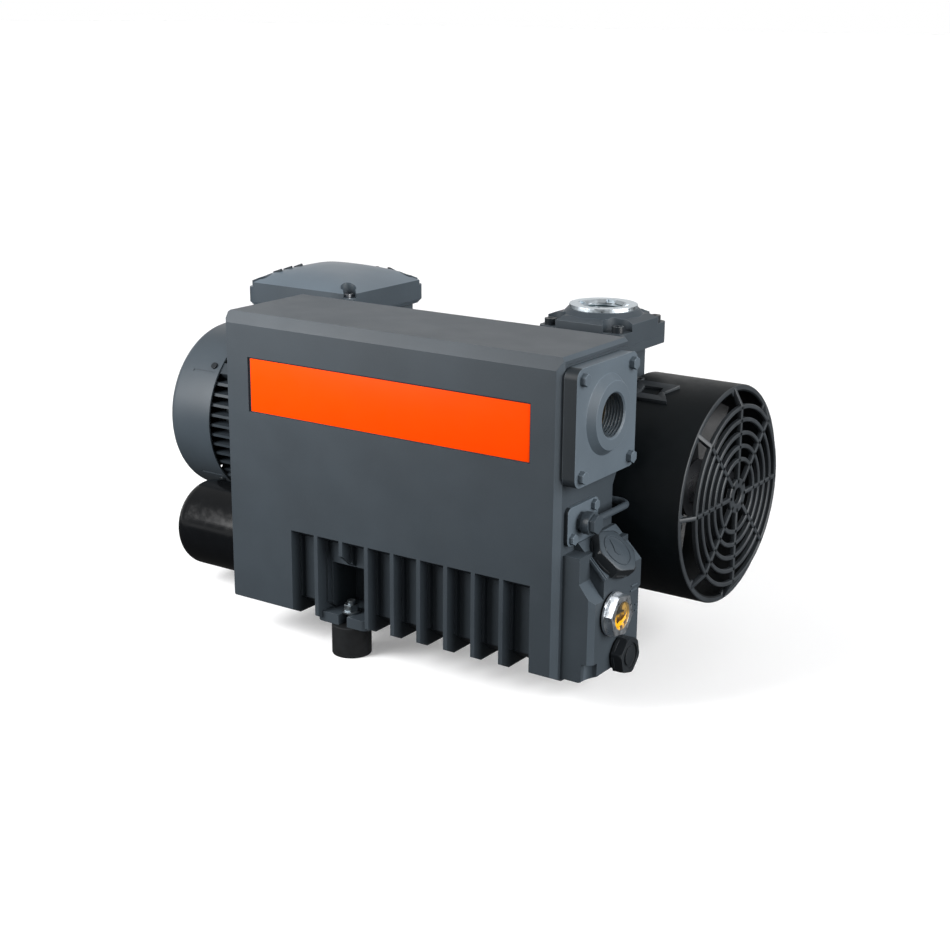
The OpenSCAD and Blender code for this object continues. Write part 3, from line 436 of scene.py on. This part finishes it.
def metres(x, y, z):
    """Point in metres, from mm."""
    return Vector((x * MM, y * MM, z * MM))


def shift(x, y, z):
    """Translation by a distance in mm."""
    return Matrix.Translation(Vector((x, y, z)) * MM)


def polar(r, degrees, h):
    """Point in metres from a radius and height in mm and an angle."""
    a = math.radians(degrees)
    return metres(r * math.cos(a), r * math.sin(a), h)


def lathe(bm, profile, matrix, segments=64):
    """Turned shape from [radius, height] points in mm, around the matrix's Z."""
    rows = [[bm.verts.new(matrix @ polar(r, 360 * i / segments, h)) for i in range(segments)]
            for r, h in profile]
    grid_faces(bm, rows, True)
    return rows


def thread(name, origin, axis, length, mat):
    """Inside of a G1 bore: a sleeve whose radius follows the helix from crest to root."""
    crest, depth, pitch, flank = 14.7, 1.0, 2.309, 2.4
    segments, rows_per_turn = 72, 8
    m = frame_at(origin, axis)
    bm = bmesh.new()
    steps = int(length / pitch * rows_per_turn)
    rows = []
    for k in range(steps + 1):
        h = length * k / steps
        row = []
        for i in range(segments):
            phase = (h / pitch - i / segments) % 1.0
            r = crest + depth * min(1.0, flank * min(phase, 1 - phase))
            row.append(bm.verts.new(m @ polar(r, 360 * i / segments, h)))
        rows.append(row)
    grid_faces(bm, rows, True)
    for f in bm.faces:
        f.normal_flip()
    piece(name, bm, "pump_frame", mat, 50)


def bar(bm, matrix, size, centre=(0, 0, 0)):
    """Adds a box given in mm in the matrix's own frame."""
    made = bmesh.ops.create_cube(bm, size=1.0)["verts"]
    scale = Matrix.Diagonal((*(v * MM for v in size), 1.0))
    bmesh.ops.transform(bm, verts=made, matrix=matrix @ shift(*centre) @ scale)


def relief(bm, outline, matrix, z0, z1, taper=1.0):
    """Adds a flat-topped figure from an outline in mm, scaled by `taper` at its top."""
    low = [bm.verts.new(matrix @ metres(x, y, z0)) for x, y in outline]
    high = [bm.verts.new(matrix @ metres(x * taper, y * taper, z1)) for x, y in outline]
    grid_faces(bm, [low, high], True)
    bm.faces.new(high)
    return low


def prism(bm, outline, matrix, z0, z1):
    """Adds an outline in mm, extruded along the matrix's Z and closed at both ends."""
    bm.faces.new(reversed(relief(bm, outline, matrix, z0, z1)))


def ring(bm, outer, inner, h0, h1, matrix, edge=0.6, segments=120):
    """Adds a ring of rectangular section with cut edges, `edge` wide."""
    e = edge
    section = [(outer - e, h0), (outer, h0 + e), (outer, h1 - e), (outer - e, h1),
               (inner + e, h1), (inner, h1 - e), (inner, h0 + e), (inner + e, h0)]
    rows = lathe(bm, section, matrix, segments)
    grid_faces(bm, [rows[-1], rows[0]], True)


def two_tone(obj, mat, chosen):
    """Second material on the faces for which `chosen` is true."""
    obj.data.materials.append(MATS[mat])
    for f in obj.data.polygons:
        if f.material_index == 0 and chosen(f):
            f.material_index = len(obj.data.materials) - 1


# ---------------------------------------------------------------- pieces on CAD shapes
# radius of the edges in metres, and material
ROUNDED = {
    "oil_separator_housing": (0.0010, "casting"), "exhaust_cover": (0.0010, "cover"),
    "service_cover": (0.0006, "cover"), "exhaust_cover_bolts": (0.0004, "cover"),
    "service_cover_bolts": (0.0003, "cover"), "banjo_fitting": (0.0004, "fitting"),
    "oil_return_pipe": (0.0003, "fitting"), "oil_fill_plug": (0.0005, "plug"),
    "oil_drain_plug": (0.0005, "plug"), "sight_glass_body": (0.0004, "nickel"),
    "inlet_flange": (0.0008, "casting"), "inlet_thread_ring": (0.0004, "zinc"),
    "pump_cylinder": (0.0008, "casting"), "motor_housing": (0.0004, "finned"),
    "motor_fan_cowl": (0.0004, "cowl"), "terminal_box": (0.0010, "casting"),
    "coupling_housing": (0.0010, "casting"),
    "motor_end_shield": (0.0008, "casting"), "oil_filter_head": (0.0008, "casting"),
    "oil_filter": (0.0006, "can"), "rubber_feet": (0.0010, "rubber"),
    "foot_bolts": (0.0003, "old_zinc"),
    "axial_fan": (0.0005, "fan"), "cable_gland": (0.0004, "plug"),
    "inlet_flange_screws": (0.0003, "dark_screw"), "cowl_screws": (0.0003, "dark_screw"),
    "terminal_box_screws": (0.0003, "steel"), "motor_fan": (0.0004, "fan"),
}
# nodes that keep their CAD shape
PLAIN = {
    "exhaust_cover_gasket": "rubber", "exhaust_filter": "felt", "oil_port_seals": "rubber",
    "sight_glass_lens": "oil", "float": "brass", "float_bracket": "steel",
    "motor_side_end_plate": "iron", "fan_side_end_plate": "iron", "end_plate_bolts": "steel",
    "rotor": "steel", "vane_1": "composite", "vane_2": "composite", "vane_3": "composite",
    "shaft_bushes": "bronze", "shaft_seals": "rubber", "exhaust_valve_reed": "steel",
    "exhaust_valve_stop": "steel", "inlet_screen": "steel", "inlet_valve_disc": "steel",
    "inlet_valve_spring": "steel", "pump_coupling_hub": "iron", "coupling_spider": "spider",
    "motor_coupling_hub": "iron", "motor_rear_shield": "iron", "stator_core": "sheets",
    "stator_windings": "copper", "motor_rotor": "sheets", "motor_bearings": "steel",
}
MADE = {node: rounded(node, width, mat) for node, (width, mat) in ROUNDED.items()}
# the sides of both covers, away from the exhaust port, get the darkest cover paint: painted shade
for node in ("exhaust_cover", "service_cover"):
    two_tone(MADE[node], "cover_painted_shade",
             lambda f: f.normal.x < 0.3 and abs(f.center.y - EXHAUST[0] * MM) > 0.02)
# the slanting faces at the fan end take the lighter edge paint: a painted highlight
two_tone(MADE["oil_separator_housing"], "casting_painted_highlight",
         lambda f: 0.3 < f.normal.x < 0.95 and f.center.x > 0.17)
for node, mat in PLAIN.items():
    finish_node(node, mat)


# ---------------------------------------------------------------- label
def label():
    """Orange film on a dark sheet; the sheet shows as a dark line along the edges, painted shade of the
    gap round the film.
    """
    (x0, y, z0), (x1, _, z1) = box("label_plate")
    width, height, sheet = x1 - x0, z1 - z0, 0.5
    cx, cz = (x0 + x1) / 2, (z0 + z1) / 2
    bm = bmesh.new()
    bar(bm, Matrix.Identity(4), (width, sheet, height), (cx, y + 1.5 * sheet, cz))
    soften(bm, 0.0001, 1)
    instead_of(piece("label_gap_shade", bm, "pump_frame", "gap"), "label_plate")
    bm = bmesh.new()
    bar(bm, Matrix.Identity(4), (width - 2.0, sheet, height - 0.8),
        (cx + 0.8, y + 0.5 * sheet, cz - 0.1))
    soften(bm, 0.00015)
    piece("label_film", bm, "pump_frame", "label")


# ---------------------------------------------------------------- ports
def ports():
    """Threads of the two ports, each from its inner end outwards."""
    inlet = middle(*box("inlet_flange"))[:2]
    thread("inlet_thread", (*inlet, 243.0), (0, 0, 1), 12.2, "thread")
    thread("exhaust_thread", (198.7, *EXHAUST), (1, 0, 0), 13.8, "casting")


# ---------------------------------------------------------------- sump nose
def drop_outline(size, count=28):
    """Outline of an oil drop, round below and drawn out to a point above."""
    belly, tip, pinch = 0.32 * size, 0.42 * size, 0.62
    points = []
    for i in range(count):
        a = 2 * math.pi * i / count
        rise = max(0.0, math.sin(a))
        points.append((belly * math.cos(a) * (1 - pinch * rise ** 1.2),
                       belly * math.sin(a) + tip * rise ** 3))
    return points


def fill_plug_face():
    """Grey face of the fill plug: a raised rim, a sunk disc and an oil drop."""
    base, head = Vector((213.9, -83.0, 108.3)), 8.8
    out = Vector((1, 0, 1)).normalized()
    m = frame_at(base + out * head, out, (-1, 0, 1))
    bm = bmesh.new()
    corners = [45 + 60 * k + side for k in range(6) for side in (-7, 7)]
    sides = [[bm.verts.new(m @ polar(r, a, h)) for a in corners]
             for r, h in ((16.9, -1.0), (16.9, 0.0), (16.2, 0.4))]
    grid_faces(bm, sides, True)
    bm.faces.new(sides[-1])
    lathe(bm, [(12.2, 0.3), (12.0, 0.95), (11.1, 0.95), (10.8, 0.4)], m, 56)
    relief(bm, drop_outline(13), m, 0.35, 0.95, 0.94)
    bmesh.ops.recalc_face_normals(bm, faces=bm.faces)
    piece("fill_plug_face", bm, "fill_plug", "fitting")


def nose_details():
    """Double lip beside the plug's land and the two pairs of level marks beside the glass."""
    bm = bmesh.new()
    slope = frame_at((213.2, -103.0, 109.0), (1, 0, 1), (-1, 0, 1))
    for offset in (-0.6, 1.6):
        bar(bm, slope, (1.2, 22.0, 2.4), (offset, -2.5, -0.2))
    nose_end = box("oil_separator_housing")[1][0]
    face = frame_at((nose_end, 0, 0), (1, 0, 0))
    # Y, Z, width and height of each mark
    marks = ((-60.5, 83.6, 8.5, 1.4), (-61.5, 80.2, 8.5, 1.4),
             (-56.6, 68.0, 3.6, 1.2), (-56.6, 63.8, 3.6, 1.2))
    for y, z, w, h in marks:
        bar(bm, face, (w, h, 1.6), (y, z, 0.2))
    soften(bm, 0.0003)
    # the lip and the marks take the lighter edge paint: a painted highlight
    piece("nose_marks", bm, "pump_frame", "casting_painted_highlight")


# ---------------------------------------------------------------- terminal lid
LID_LOW, LID_HIGH = box("terminal_box_lid")
LID_X, LID_Y, _ = middle(LID_LOW, LID_HIGH)
HALF_X, HALF_Y = LID_HIGH[0] - LID_X, LID_HIGH[1] - LID_Y
LID_EDGE, CROWN = 250.0, 15.3


def smooth_min(a, b, p=5.0):
    """Smaller of two positive values, with a soft change between them."""
    a, b = max(a, 1e-4), max(b, 1e-4)
    return (a ** -p + b ** -p) ** (-1 / p)


def crown_at(u, v):
    """Height of the crowned top, in mm; u and v run from -1 to 1 across the lid."""
    return LID_EDGE + CROWN * smooth_min(1 - u * u, 1 - v * v)


def lid_point(u, v, z, r=6.0):
    """Point in metres on the lid's plan, whose corners are rounded by `r` mm."""
    x, y = u * HALF_X, v * HALF_Y
    ex, ey = abs(x) - (HALF_X - r), abs(y) - (HALF_Y - r)
    if ex > 0 and ey > 0:
        k = max(ex, ey) / math.hypot(ex, ey)
        x = math.copysign(HALF_X - r + ex * k, x)
        y = math.copysign(HALF_Y - r + ey * k, y)
    return metres(LID_X + x, LID_Y + y, z)


def lid_shell(n=48):
    """Crowned top of n by n faces, upright walls and a closed underside."""
    bm = bmesh.new()
    base = LID_LOW[2]
    steps = [-1 + 2 * i / n for i in range(n + 1)]
    top = [[bm.verts.new(lid_point(u, v, crown_at(u, v))) for u in steps] for v in steps]
    grid_faces(bm, top, False)
    rim = [(u, -1) for u in steps[:-1]] + [(1, v) for v in steps[:-1]]
    rim += [(u, 1) for u in reversed(steps[1:])] + [(-1, v) for v in reversed(steps[1:])]
    index = {s: i for i, s in enumerate(steps)}
    walls = [[top[index[v]][index[u]] for u, v in rim]]
    for size, z in ((1.0, LID_EDGE - 1.2), (1.0, base + 3.6), (0.932, base)):
        walls.append([bm.verts.new(lid_point(u * size, v * size, z)) for u, v in rim])
    grid_faces(bm, walls, True)
    bm.faces.new(walls[-1])
    bmesh.ops.recalc_face_normals(bm, faces=bm.faces)
    return bm


def screw_cutters(x, y):
    """What the lid loses over a screw: a round recess and a channel from it to the corner."""
    recess = bmesh.new()
    rows = lathe(recess, [(6.2, 246.0), (6.5, 266)], frame_at((LID_X + x, LID_Y + y, 0), (0, 0, 1)), 40)
    recess.faces.new(reversed(rows[0]))
    recess.faces.new(rows[-1])
    bmesh.ops.recalc_face_normals(recess, faces=recess.faces)
    outwards = math.atan2(math.copysign(1, y), math.copysign(1, x))
    channel = bmesh.new()
    bar(channel, shift(LID_X + x, LID_Y + y, 256) @ Matrix.Rotation(outwards, 4, "Z"),
        (17, 10, 20), (8.5, 0, 0))
    return recess, channel


def cut(obj, cutters):
    """Takes the cutters out of a piece, and welds what is left of the seams."""
    for cutter in cutters:
        mod = obj.modifiers.new("recess", "BOOLEAN")
        mod.operation = "DIFFERENCE"
        mod.object = cutter
        mod.solver = "EXACT"
    bake(obj)
    for cutter in cutters:
        bpy.data.objects.remove(cutter)
    bm = bmesh.new()
    bm.from_mesh(obj.data)
    bmesh.ops.remove_doubles(bm, verts=bm.verts, dist=1e-5)
    bm.to_mesh(obj.data)
    bm.free()
    obj.data.shade_smooth()
    obj.data.set_sharp_from_angle(angle=math.radians(38))


def terminal_lid():
    """Pillow lid with rounded corners and a recess over each screw."""
    lid = piece("terminal_lid", lid_shell(), "pump_frame", "lid", 40)
    screws = [(x, y) for x in (-44, 44) for y in (-39.5, 39.5)]
    cutters = [bm for x, y in screws for bm in screw_cutters(x, y)]
    cut(lid, [piece("cutter", bm, "pump_frame", "lid") for bm in cutters])
    # the walls take the darker fitting paint and the top keeps the lighter lid paint: painted shade on
    # the walls, painted highlight on the top
    two_tone(lid, "fitting", lambda f: abs(f.normal.z) < 0.6)
    instead_of(lid, "terminal_box_lid")


def lid_ribs():
    """Short raised ribs: three near the left edge and three near the back edge."""
    left = [(-36 + 3 * i, -32 + 9.5 * i, (9.0, 2.4, 2.0), Matrix.Rotation(-0.36, 4, "Y"))
            for i in range(3)]
    back = [(3 + 13 * i, 40 - i, (2.8, 9.0, 2.0), Matrix.Rotation(-0.40, 4, "X"))
            for i in range(3)]
    bm = bmesh.new()
    for x, y, size, slope in left + back:
        height = crown_at(x / HALF_X, y / HALF_Y) + 0.3
        bar(bm, shift(LID_X + x, LID_Y + y, height) @ slope, size)
    soften(bm, 0.0005)
    # the ribs take the darkest cover paint: painted shade along each rib
    piece("lid_ribs", bm, "pump_frame", "cover_painted_shade")


# ---------------------------------------------------------------- fan hood
HOOD_LOW, HOOD_HIGH = box("fan_hood")
HOOD_R = SHAFT[1] - HOOD_LOW[2]
HOOD_LIP = 243.0
ALONG = frame_at((0, *SHAFT), (1, 0, 0))


def around_shaft(degrees):
    """Frame on the shaft's axis, turned about it; X runs along the shaft."""
    return Matrix.Translation(metres(0, *SHAFT)) @ Matrix.Rotation(math.radians(degrees), 4, "X")


def hood_shell():
    """Plain drum with a turned-in lip at the front."""
    outer, inner, back, lip = HOOD_R, HOOD_R - 2.5, HOOD_LOW[0], HOOD_LIP
    section = [(outer, back), (outer, lip - 1.2), (outer - 0.4, lip - 0.3), (outer - 1.2, lip),
               (inner - 1.8, lip), (inner - 2.4, lip - 0.4), (inner - 2.5, lip - 2.4),
               (inner - 0.4, lip - 2.8), (inner, lip - 3.6), (inner, back)]
    bm = bmesh.new()
    rows = lathe(bm, section, ALONG, 144)
    grid_faces(bm, [rows[-1], rows[0]], True)
    bmesh.ops.recalc_face_normals(bm, faces=bm.faces)
    instead_of(piece("hood_shell", bm, "pump_frame", "hood", 40), "fan_hood")


def hood_clip():
    """Moulded clip on the hood with its eye, and the four lugs inside that hold the hood."""
    bm = bmesh.new()
    for angle in (45, 135, 225, 315):
        bar(bm, around_shaft(angle), (6, 21, 12), (174.1, 68.6, 0))
    # half of the clip's outline: X along the shaft, Y around the hood
    outline = [(176.7, 0), (184, 0), (184, 4.5), (199, 4.5), (199, 0), (202.5, 0),
               (209.5, 10.8), (176.7, 10.8)]
    for side in (-1, 1):
        prism(bm, [(x, y * side) for x, y in outline][::side], around_shaft(22), 79.8, 83.6)
    bmesh.ops.recalc_face_normals(bm, faces=bm.faces)
    soften(bm, 0.0005)
    ring(bm, 3.6, 1.9, -2.0, 2.4, frame_at((174.6, 26.1, 206.7), (0, -0.2, 0.98)), 0.5, 32)
    bmesh.ops.recalc_face_normals(bm, faces=bm.faces)
    piece("hood_clip", bm, "pump_frame", "grille")


def hood_grille():
    """Rings and spokes in front of the hood, and the rim they stand on."""
    front, rod, spokes, rings = HOOD_HIGH[0], 3.2, 8, 5
    outer, hub, hub_hole = 68.0, 13.0, 6.0
    back, half = front - 3.6, rod / 2
    bm = bmesh.new()
    for k in range(spokes):
        spoke = around_shaft(360 / spokes * k)
        prism(bm, [(back, 9), (front, 9), (front, 67.6), (HOOD_LIP, 80.7), (239.4, 80.7), (back, 65.5)],
              spoke, -half, half)
        foot = spoke @ Matrix.Rotation(math.radians(90), 4, "Y")
        prism(bm, [(-half, 73.6), (half, 73.6), (5.5, 78.2), (5.5, 80.3), (-5.5, 80.3), (-5.5, 78.2)],
              foot, 240.9, 243.1)
    bmesh.ops.recalc_face_normals(bm, faces=bm.faces)
    soften(bm, 0.0005)
    step = (outer - hub - hub_hole) / rings
    for i in range(rings):
        ring(bm, outer - i * step, outer - rod - i * step, back, front, ALONG)
    ring(bm, hub, hub_hole, back, front, ALONG)
    ring(bm, 81.2, 77.4, 241.2, 243.2, ALONG, 0.5, 144)
    bmesh.ops.recalc_face_normals(bm, faces=bm.faces)
    piece("hood_grille", bm, "pump_frame", "grille")


label()
ports()
hood_shell()
hood_clip()
hood_grille()
fill_plug_face()
nose_details()
terminal_lid()
lid_ribs()


# ---------------------------------------------------------------- stage
def backdrop():
    """Wide sheet of pale paper, left out of reflections so that the undersides stay dark."""
    bm = bmesh.new()
    bmesh.ops.create_grid(bm, x_segments=1, y_segments=1, size=30.0)
    mesh = bpy.data.meshes.new("floor")
    bm.to_mesh(mesh)
    bm.free()
    s = Shader("floor_paper", (0.86, 0.86, 0.87), 0.8, spec=0.2)
    s.set("Base Color", s.blotches(0.4, (0.86, 0.86, 0.865), (0.88, 0.88, 0.885), 3))
    s.set("Emission Color", (1.0, 1.0, 1.0, 1.0))
    s.set("Emission Strength", 0.2)
    s.bump(s.noise(0.002), 0.00002)
    mesh.materials.append(s.mat)
    floor = link("floor", mesh)
    floor.visible_diffuse = floor.visible_glossy = False


def sun(name, towards, strength, angle):
    """Soft, even light from a wide part of the sky; `towards` points at that part."""
    data = bpy.data.lights.new(name, "SUN")
    data.energy = strength
    data.angle = math.radians(angle)
    o = link(name, data)
    o.rotation_euler = Vector(towards).to_track_quat("Z", "Y").to_euler()


def area_light(name, location, target, size, power):
    """Soft box at `location`, aimed at `target`."""
    data = bpy.data.lights.new(name, "AREA")
    data.shape = "RECTANGLE"
    data.size, data.size_y = size
    data.energy = power
    o = link(name, data)
    o.location = location
    o.rotation_euler = (Vector(location) - Vector(target)).to_track_quat("Z", "Y").to_euler()


def world(below, above):
    """White at the horizon, where it shows; dim above and nearly dark below."""
    w = bpy.data.worlds.new("studio")
    w.use_nodes = True
    t = w.node_tree
    coord = t.nodes.new("ShaderNodeTexCoord")
    split = t.nodes.new("ShaderNodeSeparateXYZ")
    half = t.nodes.new("ShaderNodeMath")
    half.operation = "MULTIPLY_ADD"
    half.inputs[1].default_value = half.inputs[2].default_value = 0.5
    ramp = t.nodes.new("ShaderNodeValToRGB")
    stops = [(0.0, below), (0.465, below), (0.48, 1.0), (0.515, 1.0), (0.53, above), (1.0, above)]
    while len(ramp.color_ramp.elements) < len(stops):
        ramp.color_ramp.elements.new(0.5)
    for element, (position, level) in zip(ramp.color_ramp.elements, stops):
        element.position = position
        element.color = (level, level, level, 1.0)
    t.links.new(coord.outputs["Generated"], split.inputs[0])
    t.links.new(split.outputs["Z"], half.inputs[0])
    t.links.new(half.outputs[0], ramp.inputs[0])
    t.links.new(ramp.outputs[0], t.nodes["Background"].inputs["Color"])
    bpy.context.scene.world = w


def camera():
    """Camera at the angle that the pump is shown from."""
    data = bpy.data.cameras.new("camera")
    data.sensor_width = 36.0
    data.lens = 61.67
    data.clip_start, data.clip_end = 0.05, 80.0
    cam = link("camera", data)
    right = Vector((0.8299, 0.5578, 0.0089))
    up = Vector((-0.1621, 0.2259, 0.9606))
    back = Vector((0.5338, -0.7987, 0.2778))
    m = Matrix((right, up, back)).transposed().to_4x4()
    m.translation = Vector((0.7240, -1.0125, 0.4717))
    cam.matrix_world = m
    bpy.context.scene.camera = cam


backdrop()
world(0.05, 0.40)
area_light("key", (-0.38, -0.67, 0.48), (-0.10, -0.10, 0.17), (0.5, 0.5), 11)
sun("side", (0.95, 0.02, 0.25), 6.2, 60)
sun("back", (-0.55, 0.80, 0.40), 0.25, 50)
camera()
bpy.context.scene.view_settings.view_transform = "Standard"
